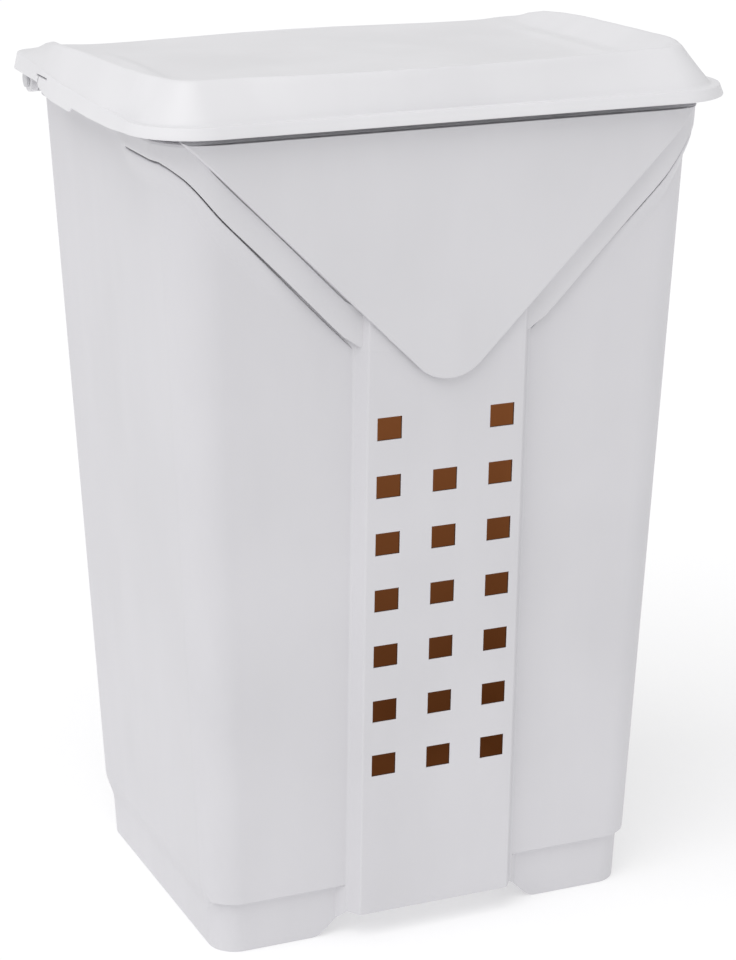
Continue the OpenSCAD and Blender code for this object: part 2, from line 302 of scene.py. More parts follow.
def band_edge(x, y):
    """Height of the band's lower edge at a place on the outline."""
    slope = BAND_V + np.abs(x) + CORNER_LIFT * smooth((np.abs(x) - 0.152) / 0.024)
    slope = slope + 0.3 * smooth((y + 0.122) / 0.03)
    rise = smooth((y - BAND_STEP_Y[0]) / (BAND_STEP_Y[1] - BAND_STEP_Y[0]))
    return soft_min(slope, BAND_SIDE_Z + (BAND_REAR_Z - BAND_SIDE_Z) * rise, 0.003)


def flare_share(x, y):
    """How far the tub swells below the band: fully at the front corners, not near the strip or behind."""
    near = smooth((np.abs(x) - 0.100) / 0.050)
    return near * (1 - smooth((y + 0.075) / 0.05))


# ---------- the tub ----------

def arch_edge():
    """Height of the tub's lower edge in each column: an arch with 45 degree ends, front and rear."""
    x = half_outline(0, 0)[:, 0]
    edge = soft_min(soft_max(ARCH_W / 2 - x, 0 * x, ARCH_ROUND), ARCH_H + 0 * x, 0.001)
    ends = IS_STRIP | (KIND == "wall") | (KIND == "rear")
    return np.where(ends, edge, 0)


def build_tub(outside, inside, vent_shade):
    low = arch_edge()
    seam = np.clip(band_edge(REFERENCE[:, 0], REFERENCE[:, 1]), BAND_V + STRIP_FOOT, None)
    flare = FLARE_OUT * flare_share(REFERENCE[:, 0], REFERENCE[:, 1])
    at_front = (KIND == "wall") | (KIND == "run") | (KIND == "rear") | (KIND == "rear_run") | IS_STRIP
    bend = np.where(KIND == "corner_front", smooth((PAR - 0.95) / 0.55), 1.0)
    bend = np.where(KIND == "corner_rear", smooth(1.6 * (1 - PAR / (math.pi / 2))), bend)
    bend = np.where(at_front, 0.0, bend)
    step_h = PLINTH_SHARP + (PLINTH_SOFT - PLINTH_SHARP) * bend
    step = PLINTH_IN * np.where(IS_STRIP, 0, 1)
    groove = GROOVE_IN * np.where(IS_STRIP, 0, 1)

    rows = []           # (heights, offsets, share of the strip)

    def row(z, out, strip=1.0):
        rows.append(mirrored(half_outline(z, out, strip)))
        return len(rows) - 1

    # outer skin, upwards
    outer = [row(low, -ROUND - step), row(low + 0.3 * ROUND, -0.3 * ROUND - step), row(low + ROUND, -step)]
    start = PLINTH_H - step_h / 2
    for t in (0.35, 0.7):
        outer.append(row(low + ROUND + (start - low - ROUND) * t, -step))
    for q in np.linspace(0, 1, 9):
        outer.append(row(start + step_h * q, -step * (1 - smooth(q))))
    for z in (0.050, 0.066, 0.085, 0.104):
        outer.append(row(z, 0))
    hole_rows = []
    for k in reversed(range(ROWS)):
        centre = ROW_TOP - k * ROW_PITCH
        outer.append(row(centre - HALF_H, 0))
        hole_rows.append((len(outer) - 1, centre))
        outer.append(row(centre + HALF_H, 0))
        if k:
            outer.append(row(centre + ROW_PITCH / 2, 0))
    last = ROW_TOP + HALF_H + 0.006
    outer.append(row(last, 0))
    for t in (0.2, 0.4, 0.6, 0.8):
        outer.append(row(last + (seam - FLARE_H - last) * t, 0))
    lip = seam - GROOVE_H
    for q in np.linspace(0, 1, 9):
        outer.append(row(seam - FLARE_H + (FLARE_H - GROOVE_H - 0.0012) * q, flare * smooth(q)))
    outer.append(row(lip - 0.0004, flare * 0.97 - 0.0001))
    outer.append(row(lip, flare * 0.97 - 0.0006 * np.where(IS_STRIP, 0, 1)))
    outer.append(row(lip + 0.0002, -groove))
    for share, strip in UPPER_ROWS:
        outer.append(row(seam + (RIM_Z - 0.0012 - seam) * share, -groove, strip))
    outer.append(row(RIM_Z - 0.0009, 0, 0))
    outer.append(row(RIM_Z - 0.0002, -0.0003, 0))
    outer.append(row(RIM_Z, -0.0009, 0))
    # inner skin, downwards
    inner = [row(RIM_Z, -WALL + 0.0009, 0), row(RIM_Z - 0.0002, -WALL + 0.0003, 0),
             row(RIM_Z - 0.0009, -WALL, 0)]
    for share, strip in UPPER_ROWS[::-1] + ((0.0, 1),):
        inner.append(row(seam + (RIM_Z - 0.0012 - seam) * share, -WALL, strip))
    for t in (0.6, 0.2):
        inner.append(row(last + (seam - FLARE_H - last) * t, -WALL))
    inner.append(row(last, -WALL))
    inner_hole_rows = []
    for k in range(ROWS):
        centre = ROW_TOP - k * ROW_PITCH
        inner.append(row(centre + HALF_H, -WALL))
        inner_hole_rows.append(len(inner) - 1)
        inner.append(row(centre - HALF_H, -WALL))
        inner.append(row(centre - ROW_PITCH / 2, -WALL))
    for q in np.linspace(1, 0, 7):
        inner.append(row(start + WALL + step_h * q, -WALL - step * (1 - smooth(q))))
    inner.append(row(FLOOR_TOP + 0.003, -WALL - step))
    inner.append(row(FLOOR_TOP + 0.0009, -WALL - 0.0009 - step))
    inner.append(row(FLOOR_TOP, -WALL - 0.003 - step))
    # inside of the plinth, below the floor
    under = [row(low, -WALL + ROUND - step), row(low + 0.3 * ROUND, -WALL + 0.3 * ROUND - step),
             row(low + ROUND, -WALL - step), row(FLOOR_UNDER, -WALL - step)]

    verts = np.vstack(rows)
    faces, slots = [], []

    def holes_at(band, starts):
        """Columns left open between two rows: the middle hole and the two outer ones."""
        if band not in starts:
            return set()
        open_cols = {3, 4, COUNT - 4, COUNT - 5}
        top_row = starts[band]
        return open_cols if top_row else open_cols | {0, COUNT - 1}

    outer_starts = {i: centre > ROW_TOP - 0.001 for i, centre in hole_rows}
    inner_starts = {i: k == 0 for k, i in enumerate(inner_hole_rows)}

    def skin(ring_ids, slot, starts=None):
        for b, (low_id, high_id) in enumerate(zip(ring_ids[:-1], ring_ids[1:])):
            skip = holes_at(b, starts or {})
            for i in range(COUNT):
                if i in skip:
                    continue
                j = (i + 1) % COUNT
                faces.append((low_id * COUNT + i, low_id * COUNT + j,
                              high_id * COUNT + j, high_id * COUNT + i))
                slots.append(slot)

    skin(outer, 0, outer_starts)
    skin([outer[-1], inner[0]], 0)
    skin(inner[:4], 0)
    # slot 1 is the inside material, with its painted shade and faint painted light
    skin(inner[3:], 1, {i - 3: top for i, top in inner_starts.items()})
    skin(list(reversed(under)), 0)
    skin([under[0], outer[0]], 0)
    faces.append([inner[-1] * COUNT + i for i in range(COUNT)])
    slots.append(1)
    faces.append([under[-1] * COUNT + i for i in reversed(range(COUNT))])
    slots.append(0)

    # walls of the vent holes, with rounded outer edges; the walls inside the holes carry a dark brown painted
    # shade
    extra = []
    first_extra = len(verts)
    for (outer_row, centre), inner_row in zip(hole_rows, reversed(inner_hole_rows)):
        o_low, o_high = outer[outer_row], outer[outer_row + 1]
        i_high, i_low = inner[inner_row], inner[inner_row + 1]
        groups = [HOLE_COLS, tuple(COUNT - c for c in reversed(HOLE_COLS))]
        if centre < ROW_TOP - 0.001:
            groups.append((COUNT - 1, 0, 1))
        for cols in groups:
            around_out = [o_low * COUNT + c for c in cols] + [o_high * COUNT + c for c in reversed(cols)]
            around_in = [i_low * COUNT + c for c in cols] + [i_high * COUNT + c for c in reversed(cols)]
            middle = verts[around_out].mean(0)
            loops = [around_out]
            for inset, depth in ((0.7, 0.12), (0.25, 0.45), (0.0, 1.0)):
                ring = []
                for v in around_out:
                    p = verts[v].copy()
                    p[0] = middle[0] + (p[0] - middle[0]) * (HOLE_W / 2 + HOLE_EDGE * inset) / HALF_W
                    p[2] = centre + (p[2] - centre) * (HOLE_H / 2 + HOLE_EDGE * inset) / HALF_H
                    p[1] += HOLE_EDGE * depth
                    ring.append(first_extra + len(extra))
                    extra.append(p)
                loops.append(ring)
            ring = []
            for v in around_in:
                p = verts[v].copy()
                p[0] = middle[0] + (p[0] - middle[0]) * HOLE_W / 2 / HALF_W
                p[2] = centre + (p[2] - centre) * HOLE_H / 2 / HALF_H
                p[1] -= HOLE_EDGE
                ring.append(first_extra + len(extra))
                extra.append(p)
            loops += [ring, around_in]
            for n, (a, b) in enumerate(zip(loops[:-1], loops[1:])):
                for i in range(6):
                    j = (i + 1) % 6
                    faces.append((a[j], a[i], b[i], b[j]))
                    # the walls inside the holes get the dark brown painted shade
                    slots.append(0 if n < 3 else 2)
    verts = np.vstack([verts, np.array(extra)])
    return new_object("tub_shell", verts, faces, [outside, inside, vent_shade], slots, sharp=40)


# ---------- the collar ----------

def build_collar(material):
    foot = STRIP_FOOT + SEAM / 2
    cols = [("in", 0.0), ("in", 0.5), ("in", 1.0), ("end", 0.0), ("wall", 0.072), ("wall", ARCH_W / 2)]
    cols += [("run", t) for t in np.linspace(0, 1, 13)[1:]]
    cols += [("corner_front", a) for a in np.radians(np.linspace(0, 90, 21))[1:-1]]
    cols += [("side", t) for t in np.linspace(0, 1, 61)]
    cols += [("corner_rear", a) for a in np.radians(np.linspace(0, 90, 15))[1:-1]]
    cols += [("rear_run", t) for t in (1.0, 0.6, 0.2)] + [("rear", 0.05), ("rear", 0.0)]
    kind = np.array([c[0] for c in cols])
    par = np.array([c[1] for c in cols], float)
    count = 2 * len(cols) - 2

    def place(z, out):
        z = np.broadcast_to(np.asarray(z, float), par.shape)
        out = np.broadcast_to(np.asarray(out, float), par.shape)
        w, d, r = outline_size(z, out)
        first = ARCH_W / 2
        end = foot - np.clip(out, 0, 1)
        x = np.where(kind == "in", (end - 0.0002) * par, par)
        x = np.where(kind == "end", end, x)
        x = np.where((kind == "run") | (kind == "rear_run"), first + (w - r - first) * par, x)
        y = np.where(np.isin(kind, ["rear", "rear_run"]), TUB_Y + d, TUB_Y - d)
        x = np.where(kind == "corner_front", w - r + r * np.sin(par), x)
        y = np.where(kind == "corner_front", TUB_Y - d + r - r * np.cos(par), y)
        x = np.where(kind == "side", w, x)
        y = np.where(kind == "side", TUB_Y - d + r + (2 * d - 2 * r) * par, y)
        x = np.where(kind == "corner_rear", w - r + r * np.cos(par), x)
        y = np.where(kind == "corner_rear", TUB_Y + d - r + r * np.sin(par), y)
        return mirrored(np.stack([x, y, z], 1))

    half = len(cols)
    at = place(BAND_SIDE_Z, 0)[:half]
    edge = band_edge(at[:, 0], at[:, 1]) + SEAM / 2
    edge = np.where(kind == "in", COLLAR_TONGUE_Z, edge)
    tall = COLLAR_Z - edge
    inner_face = BAND_OUT - WALL
    rings = [
        place(edge + 0.0014, inner_face), place(edge + 0.0003, inner_face + 0.0004),
        place(edge, inner_face + 0.0009), place(edge, BAND_OUT - 0.0012),
        place(edge + 0.0003, BAND_OUT - 0.0004), place(edge + 0.0014, BAND_OUT),
    ]
    seat = np.minimum(SEAT_Z, tall - 0.0034)
    seat_in = SEAT_IN * smooth((tall - 0.027) / 0.003) * (at[:, 1] < 0)
    for t in (0.3, 0.6, 0.9):
        rings.append(place(edge + 0.0014 + (seat - 0.0014) * t, BAND_OUT))
    rings += [place(edge + seat, BAND_OUT), place(edge + seat + 0.0002, BAND_OUT - seat_in)]
    for t in (0.25, 0.5, 0.75):
        rings.append(place(edge + seat + 0.0002 + (tall - seat - 0.0022) * t, BAND_OUT - seat_in))
    rings += [
        place(COLLAR_Z - 0.002, BAND_OUT - seat_in),
        place(COLLAR_Z - 0.0006, BAND_OUT - 0.0006 - seat_in * 0.4),
        place(COLLAR_Z, BAND_OUT - 0.002), place(COLLAR_Z, TRENCH[0] + 0.0004),
        place(COLLAR_Z - 0.0004, TRENCH[0]), place(TRENCH_Z + 0.001, TRENCH[0]),
        place(TRENCH_Z, TRENCH[0] - 0.001), place(TRENCH_Z, TRENCH[1] + 0.001),
        place(TRENCH_Z + 0.001, TRENCH[1]), place(COLLAR_Z - 0.0008, TRENCH[1]),
        place(COLLAR_Z, TRENCH[1] - 0.0008),
        place(COLLAR_Z, -FRAME_IN + 0.0015), place(COLLAR_Z - 0.0005, -FRAME_IN + 0.0004),
        place(COLLAR_Z - 0.0015, -FRAME_IN), place(RIM_Z + 0.0012, -FRAME_IN),
        place(RIM_Z + 0.0004, -FRAME_IN + 0.0004), place(RIM_Z + 0.0002, -FRAME_IN + 0.0012),
        place(RIM_Z + 0.0002, LIP[1]), place(LIP_Z + 0.0005, LIP[1]), place(LIP_Z, LIP[1] + 0.0005),
        place(LIP_Z, LIP[0] - 0.0005), place(LIP_Z + 0.0005, LIP[0]), place(RIM_Z + 0.0003, LIP[0]),
        place(RIM_Z + 0.0003, inner_face),
    ]
    total = len(rings)
    order = list(range(total)) + [0]
    faces = bands(order, count)
    verts = np.vstack(rings)
    return new_object("collar_band", verts, faces, [material], sharp=40)


# ---------- the V-shaped flap ----------

def flap_outline(inset, top, steps=28):
    """X and Z round the flap: a rounded tip, two 45 degree sides and a level top."""
    radius = FLAP_TIP_R - inset
    centre = FLAP_V + FLAP_TIP_R * math.sqrt(2)
    points = []
    for a in np.radians(np.linspace(-135, -45, steps)):
        points.append((radius * math.cos(a), centre + radius * math.sin(a)))
    x, z = points[-1]
    reach = top - z
    climb = [(x + reach * t, z + reach * t) for t in 1 - (1 - np.linspace(0, 1, 25)[1:]) ** 1.6]
    return [(-a, b) for a, b in reversed(climb)] + points + climb


def flap_plane(z):
    return FLAP_FACE_Y + (COLLAR_Z - z) * FLAP_LEAN


def band_front_y(x, z, out):
    """The band's front surface at x and z."""
    w, d, r = outline_size(z, out)
    over = np.clip(np.abs(x) - (w - r), 0, r * 0.98)
    return TUB_Y - d + r - np.sqrt(r * r - over * over)


def flap_y(x, z):
    """The plate's face: a leaning plane that turns back round the collar's front corners."""
    wall_y = TUB_Y - outline_size(z, 0)[1]
    return band_front_y(x, z, wall_y - flap_plane(z))


def build_flap(material):
    """Front plate with a rounded edge and an undercut return that meets the band."""
    top = COLLAR_Z + FLAP_RISE

    def on_band(x, z):
        """The band's face, or the plate's own back where it passes over the strip."""
        plate_back = flap_y(x, z) + WALL
        band = np.maximum(band_front_y(x, z, BAND_OUT - SEAT_IN - 0.0005), plate_back)
        return np.where(np.abs(x) < STRIP_FOOT + 0.001, plate_back, band)

    def loop(inset, share, back=0.0):
        """Points round the plate at a share of the way from its face back to the band."""
        x, z = np.array(flap_outline(inset, top - min(inset, FLAP_ROUND))).T
        y = flap_y(x, z)
        return np.stack([x, y + back + (on_band(x, z) - y - back) * share, z], 1)

    rings = [loop(FLAP_ROUND * (1 - math.sin(a)), 0, FLAP_ROUND * (1 - math.cos(a)))
             for a in np.radians([0, 15, 30, 45, 60, 75, 90])]
    rings += [loop(0, 0.70, FLAP_ROUND), loop(0.0003, 0.76, FLAP_ROUND), loop(UNDERCUT, 0.78, FLAP_ROUND)]
    rings += [loop(UNDERCUT, 1), loop(WALL + UNDERCUT, 1), loop(WALL + UNDERCUT, 0, WALL)]
    count = len(rings[0])
    verts = list(np.vstack(rings))
    faces = bands(list(range(len(rings))), count)

    def fill(ring_id, back, flip):
        """Even rungs across the plate between the two sides of a ring."""
        ring = rings[ring_id]
        previous = None
        for i in range(count // 2):
            left, right = ring[i], ring[count - 1 - i]
            rung = [ring_id * count + i]
            for u in np.sin(np.linspace(-1, 1, 27)[1:-1] * math.pi / 2):
                x = left[0] + (right[0] - left[0]) * (u + 1) / 2
                rung.append(len(verts))
                verts.append(np.array([x, float(flap_y(x, left[2])) + back, left[2]]))
            rung.append(ring_id * count + count - 1 - i)
            if previous:
                for a in range(len(rung) - 1):
                    quad = (previous[a], rung[a], rung[a + 1], previous[a + 1])
                    faces.append(quad[::-1] if flip else quad)
            previous = rung

    fill(0, 0.0, False)
    fill(len(rings) - 1, WALL, True)
    obj = new_object("front_flap", verts, faces, [material], sharp=40)
    recalculate(obj)
    return obj


def recalculate(obj):
    bm = bmesh.new()
    bm.from_mesh(obj.data)
    bmesh.ops.recalc_face_normals(bm, faces=bm.faces)
    bm.to_mesh(obj.data)
    bm.free()


# ---------- the lid ----------

def side_width(y):
    """Half the flange's width at Y: it narrows evenly towards the rear."""
    share = (y + LID_D / 2 - LID_FRONT_R) / (LID_D - LID_FRONT_R - LID_REAR_R)
    return (LID_W + (LID_REAR_W - LID_W) * np.clip(share, 0, 1)) / 2


def lid_half(inset):
    """Half of the flange's outline, moved in, from the front's middle round +X to the rear's middle."""
    w = LID_W / 2 - inset
    rw = LID_REAR_W / 2 - inset
    d = LID_D / 2 - inset
    fr = max(LID_FRONT_R - inset, 0.004)
    rr = max(LID_REAR_R - inset, 0.002)
    points = [((w - fr) * t, -d) for t in np.linspace(0, 1, 36)]
    for a in np.radians(np.linspace(0, 90, 31)[1:-1]):
        points.append((w - fr + fr * math.sin(a), -d + fr - fr * math.cos(a)))
    points += [(w + (rw - w) * t, -d + fr + (2 * d - fr - rr) * t) for t in np.linspace(0, 1, 111)]
    for a in np.radians(np.linspace(0, 90, 15)[1:-1]):
        points.append((rw - rr + rr * math.cos(a), d - rr + rr * math.sin(a)))
    points += [((rw - rr) * t, d) for t in np.linspace(1, 0, 36)]
    return np.array(points)


def edge_distance(x, y, open_rear=False):
    """Distance in from the flange's outline. With open_rear the outline runs on past the rear."""
    w, d = side_width(y), LID_D / 2
    ax = np.abs(x)
    r = LID_FRONT_R
    dx = np.maximum(ax - (w - r), 0)
    dy = np.maximum(-y - (d - r), 0)
    corner = r - np.hypot(dx, dy)
    plain = np.minimum(w - ax, y + d)
    front = np.where((dx > 0) & (dy > 0), corner, plain)
    if open_rear:
        return front
    rr = LID_REAR_R
    ex = np.maximum(ax - (w - rr), 0)
    ey = np.maximum(y - (d - rr), 0)
    rear_corner = rr - np.hypot(ex, ey)
    rear = np.where((ex > 0) & (ey > 0), rear_corner, np.minimum(w - ax, d - y))
    return np.minimum(front, rear)


def table(value, pairs):
    """Straight-line reading of a small table of (position, value) pairs."""
    return np.interp(value, [p[0] for p in pairs], [p[1] for p in pairs])


def flange_top(y):
    """Height of the flange's flat top: it climbs a little towards the rear corners."""
    return LID_Z + FLANGE_H + REAR_RISE * smooth((y - 0.02) / 0.12)


def lid_height(x, y):
    """Height of the lid's top surface: flange, steep bevel, falling ridge and sunken panel."""
    reach = edge_distance(x, y)
    inner = edge_distance(x, y, open_rear=True)
    at_side = smooth((np.abs(x) - 0.150) / 0.020) * smooth((y + 0.130) / 0.030)
    crest = table(np.abs(x), CREST_FRONT) * (1 - at_side) + table(y, CREST_SIDE) * at_side
    ridge = RIDGE_FRONT_Z - 0.0004 + table(y, CREST_Z)
    flange = flange_top(y)
    # the ledge is wide along the front and fades out along the sides
    ledge = LEDGE * (1 - 0.7 * smooth((y + 0.105) / 0.06))
    bevel = flange + (reach - ledge) * (ridge - flange) / (crest - ledge)
    crown = soft_max(flange + 0 * reach, bevel, 0.0014)
    crown = soft_min(crown, ridge + 0.0008, 0.0045)
    slope = table(y, SLOPE_W)
    bowl = PANEL_Z + (crest + slope - inner) * (ridge - PANEL_Z) / slope
    bowl = soft_max(bowl, PANEL_Z + 0 * inner, 0.004)
    return soft_min(crown, bowl, 0.004)


def skirt_edge(x, y):
    """Height of the skirt's lower edge: deeper along the middle of the sides."""
    at_side = smooth((np.abs(x) - side_width(y) + 0.004) / 0.003)
    return LID_Z + (table(y, SKIRT) - LID_Z) * at_side


def cut_slit(lid, side):
    """T-shaped slit through the skirt, where its deep part ends."""
    x0, x1 = side * SLIT_X[0], side * SLIT_X[1]
    bm = bmesh.new()
    inner = [bm.verts.new((x0, y, z)) for y, z in SLIT]
    outer = [bm.verts.new((x1, y, z)) for y, z in SLIT]
    bm.faces.new(inner)
    bm.faces.new(outer[::-1])
    for i in range(len(SLIT)):
        j = (i + 1) % len(SLIT)
        bm.faces.new((inner[j], inner[i], outer[i], outer[j]))
    bmesh.ops.recalc_face_normals(bm, faces=bm.faces)
    mesh = bpy.data.meshes.new("slit")
    bm.to_mesh(mesh)
    bm.free()
    cutter = bpy.data.objects.new("slit", mesh)
    bpy.context.scene.collection.objects.link(cutter)
    lid.modifiers.clear()
    cut = lid.modifiers.new("slit", "BOOLEAN")
    cut.operation = "DIFFERENCE"
    cut.solver = "FAST"
    cut.object = cutter
    solid = bpy.data.meshes.new_from_object(lid.evaluated_get(bpy.context.evaluated_depsgraph_get()))
    lid.modifiers.clear()
    lid.data = solid
    bpy.data.objects.remove(cutter)
    bpy.data.meshes.remove(mesh)


def build_lid(material):
    insets = list(DRAFT + np.arange(0.0014, 0.0100, 0.0008))
    insets += list(np.arange(0.0135, 0.052, 0.0011))
    insets += [0.054, 0.057, 0.062, 0.070, 0.082, 0.098, 0.116, 0.135, 0.150]
    outline = [mirrored(lid_half(i)) for i in insets]
    count = len(outline[0])
    edge0 = mirrored(lid_half(0))
    low = skirt_edge(edge0[:, 0], edge0[:, 1])
    top = flange_top(edge0[:, 1])

    def ring(points, z):
        return np.column_stack([points[:, 0], points[:, 1], z])

    rings = [
        ring(mirrored(lid_half(0.0009)), low), ring(mirrored(lid_half(0.0002)), low + 0.0003),
        ring(edge0, low + 0.001), ring(mirrored(lid_half(DRAFT / 2)), (low + top) / 2),
        ring(mirrored(lid_half(DRAFT)), top - 0.0006),
        ring(mirrored(lid_half(DRAFT + 0.0002)), top - 0.0002),
        ring(mirrored(lid_half(DRAFT + 0.0006)), top),
    ]
    rings += [ring(p, lid_height(p[:, 0], p[:, 1])) for p in outline]
    middle_top = len(rings) - 1
    # underside, from the middle outwards
    inner_insets = [i for i in insets if i > DRAFT + WALL + 0.0010]
    for i in reversed(inner_insets):
        p = mirrored(lid_half(i))
        z = lid_height(p[:, 0], p[:, 1])
        h = 0.0004
        gx = (lid_height(p[:, 0] + h, p[:, 1]) - lid_height(p[:, 0] - h, p[:, 1])) / (2 * h)
        gy = (lid_height(p[:, 0], p[:, 1] + h) - lid_height(p[:, 0], p[:, 1] - h)) / (2 * h)
        rings.append(ring(p, np.maximum(z - WALL * np.sqrt(1 + gx * gx + gy * gy), LID_Z + 0.004)))
    wall_in = mirrored(lid_half(WALL))
    rings += [
        ring(mirrored(lid_half(WALL + DRAFT / 2)), np.full(count, LID_Z + 0.0038)), ring(wall_in, low + 0.001),
        ring(mirrored(lid_half(WALL - 0.0003)), low + 0.0003), ring(mirrored(lid_half(WALL - 0.0009)), low),
    ]
    total = len(rings)
    faces = bands(list(range(middle_top + 1)), count)
    faces += bands(list(range(middle_top + 1, total)) + [0], count)
    faces.append([middle_top * count + i for i in range(count)])
    faces.append([(middle_top + 1) * count + i for i in reversed(range(count))])
    verts = np.vstack(rings)
    lid = new_object("lid_shell", verts, faces, [material], sharp=50)
    recalculate(lid)
    for side in (-1, 1):
        cut_slit(lid, side)
    finish_mesh(lid, 50)
    return lid


def build_rib(material):
    """Rib under the lid that rests over the collar."""
    foot = COLLAR_Z + REST_GAP
    rings = []
    for across, lift in ((0, 0.0008), (0.0004, 0.0001), (0.001, 0), (0.0016, 0), (0.0021, 0.0001),
                         (WALL, 0.0008)):
        p = mirrored(lid_half(RIB_IN + across))
        rings.append(np.column_stack([p[:, 0], p[:, 1], np.full(len(p), foot + lift)]))
    for inset in (RIB_IN + WALL, RIB_IN):
        p = mirrored(lid_half(inset))
        z = lid_height(p[:, 0], p[:, 1]) - WALL * 1.2
        rings.append(np.column_stack([p[:, 0], p[:, 1], z]))
    count = len(rings[0])
    faces = bands(list(range(len(rings))) + [0], count)
    faces = [tuple(reversed(f)) for f in faces]
    obj = new_object("lid_rib", np.vstack(rings), faces, [material], sharp=40)
    recalculate(obj)
    return obj


# ---------- hinge parts ----------

def plate_part(name, outline, x0, x1, edge, material):
    """Upright plate across X with a rounded edge all round: outline is (y, z) pairs."""
    bm = bmesh.new()
    loop = [bm.verts.new((x0, y, z)) for y, z in outline]
    face = bm.faces.new(loop)
    moved = bmesh.ops.extrude_face_region(bm, geom=[face])
    top = [v for v in moved["geom"] if isinstance(v, bmesh.types.BMVert)]
    bmesh.ops.translate(bm, verts=top, vec=(x1 - x0, 0, 0))
    bmesh.ops.recalc_face_normals(bm, faces=bm.faces)
    rim = [e for e in bm.edges if abs(e.verts[0].co.x - e.verts[1].co.x) < 1e-9]
    bmesh.ops.bevel(bm, geom=rim, offset=edge, segments=3, profile=0.5, affect="EDGES")
    mesh = bpy.data.meshes.new(name)
    bm.to_mesh(mesh)
    bm.free()
    mesh.materials.append(material)
    obj = bpy.data.objects.new(name, mesh)
    bpy.context.scene.collection.objects.link(obj)
    return obj


def lug_outline(front, top, radius):
    """Round end about the hinge axis that runs up to a flat top."""
    arc = [(AXIS_Y + radius * math.cos(a), AXIS_Z + radius * math.sin(a))
           for a in np.radians(np.linspace(20, -180, 41))]
    return arc + [(AXIS_Y - radius, top), (front, top)]


# ---------- materials ----------

def principled(name):
    material = bpy.data.materials.new(name)
    material.use_nodes = True
    tree = material.node_tree
    return material, tree, tree.nodes["Principled BSDF"]


def add_noise(tree, coords, scale, detail, stretch=(1, 1, 1)):
    mapping = tree.nodes.new("ShaderNodeMapping")
    mapping.inputs["Scale"].default_value = stretch
    tree.links.new(coords, mapping.inputs["Vector"])
    noise = tree.nodes.new("ShaderNodeTexNoise")
    noise.inputs["Scale"].default_value = scale
    noise.inputs["Detail"].default_value = detail
    tree.links.new(mapping.outputs["Vector"], noise.inputs["Vector"])
    return noise.outputs["Fac"]


def ramp(tree, value, low, high, start, end):
    node = tree.nodes.new("ShaderNodeMapRange")
    node.inputs["From Min"].default_value = low
    node.inputs["From Max"].default_value = high
    node.inputs["To Min"].default_value = start
    node.inputs["To Max"].default_value = end
    tree.links.new(value, node.inputs["Value"])
    return node.outputs["Result"]


def mix_color(tree, factor, a, b):
    node = tree.nodes.new("ShaderNodeMix")
    node.data_type = "RGBA"
    node.inputs[6].default_value = (*a, 1) if isinstance(a, tuple) else (1, 1, 1, 1)
    node.inputs[7].default_value = (*b, 1) if isinstance(b, tuple) else (1, 1, 1, 1)
    if not isinstance(a, tuple):
        tree.links.new(a, node.inputs[6])
    if not isinstance(b, tuple):
        tree.links.new(b, node.inputs[7])
    tree.links.new(factor, node.inputs[0])
    return node.outputs[2]


def add_values(tree, a, b):
    node = tree.nodes.new("ShaderNodeMath")
    node.operation = "ADD"
    tree.links.new(a, node.inputs[0])
    tree.links.new(b, node.inputs[1])
    return node.outputs[0]


def add_bump(tree, height, strength, distance, normal=None):
    bump = tree.nodes.new("ShaderNodeBump")
    bump.inputs["Strength"].default_value = strength
    bump.inputs["Distance"].default_value = distance
    tree.links.new(height, bump.inputs["Height"])
    if normal:
        tree.links.new(normal, bump.inputs["Normal"])
    return bump.outputs["Normal"]


def edge_mask(tree, radius):
    """About 1 on rounded edges and 0 on flat faces."""
    bevel = tree.nodes.new("ShaderNodeBevel")
    bevel.samples = 4
    bevel.inputs["Radius"].default_value = radius
    geometry = tree.nodes.new("ShaderNodeNewGeometry")
    dot = tree.nodes.new("ShaderNodeVectorMath")
    dot.operation = "DOT_PRODUCT"
    tree.links.new(bevel.outputs["Normal"], dot.inputs[0])
    tree.links.new(geometry.outputs["Normal"], dot.inputs[1])
    return ramp(tree, dot.outputs["Value"], 0.995, 0.90, 0.0, 1.0)


def plastic(name, color, roughness, grain=0.05, scuff=0.06):
    """Satin moulded plastic: fine spark-eroded grain, faint flow marks, scuffs and rubbed edges."""
    material, tree, shader = principled(name)
    coords = tree.nodes.new("ShaderNodeTexCoord").outputs["Object"]
    cloud = add_noise(tree, coords, 7.0, 3.0)
    flow = add_noise(tree, coords, 22.0, 4.0, (1.0, 1.0, 0.25))
    scratch = add_noise(tree, coords, 240.0, 5.0, (1.0, 1.0, 0.06))
    fine = add_noise(tree, coords, 2200.0, 2.0)
    worn = edge_mask(tree, 0.0014)
    darker = tuple(c * 0.955 for c in color)
    lighter = tuple(min(c * 1.03, 1.0) for c in color)
    tint = mix_color(tree, ramp(tree, cloud, 0.35, 0.65, 0, 1), darker, color)
    tint = mix_color(tree, ramp(tree, flow, 0.45, 0.75, 0, 0.5), tint, lighter)
    tint = mix_color(tree, ramp(tree, worn, 0, 1, 0, 0.55), tint, lighter)
    tree.links.new(tint, shader.inputs["Base Color"])
    base_rough = ramp(tree, cloud, 0.3, 0.7, roughness - 0.03, roughness + 0.04)
    marks = ramp(tree, scratch, 0.60, 0.78, 0, scuff)
    polish = ramp(tree, worn, 0, 1, 0, -0.10)
    rough = add_values(tree, add_values(tree, base_rough, marks), polish)
    tree.links.new(rough, shader.inputs["Roughness"])
    wave = add_bump(tree, cloud, 0.12, 0.0008, add_bump(tree, fine, grain, 0.0003))
    tree.links.new(wave, shader.inputs["Normal"])
    shader.inputs["IOR"].default_value = 1.49
    shader.inputs["Specular IOR Level"].default_value = 0.42
    return material


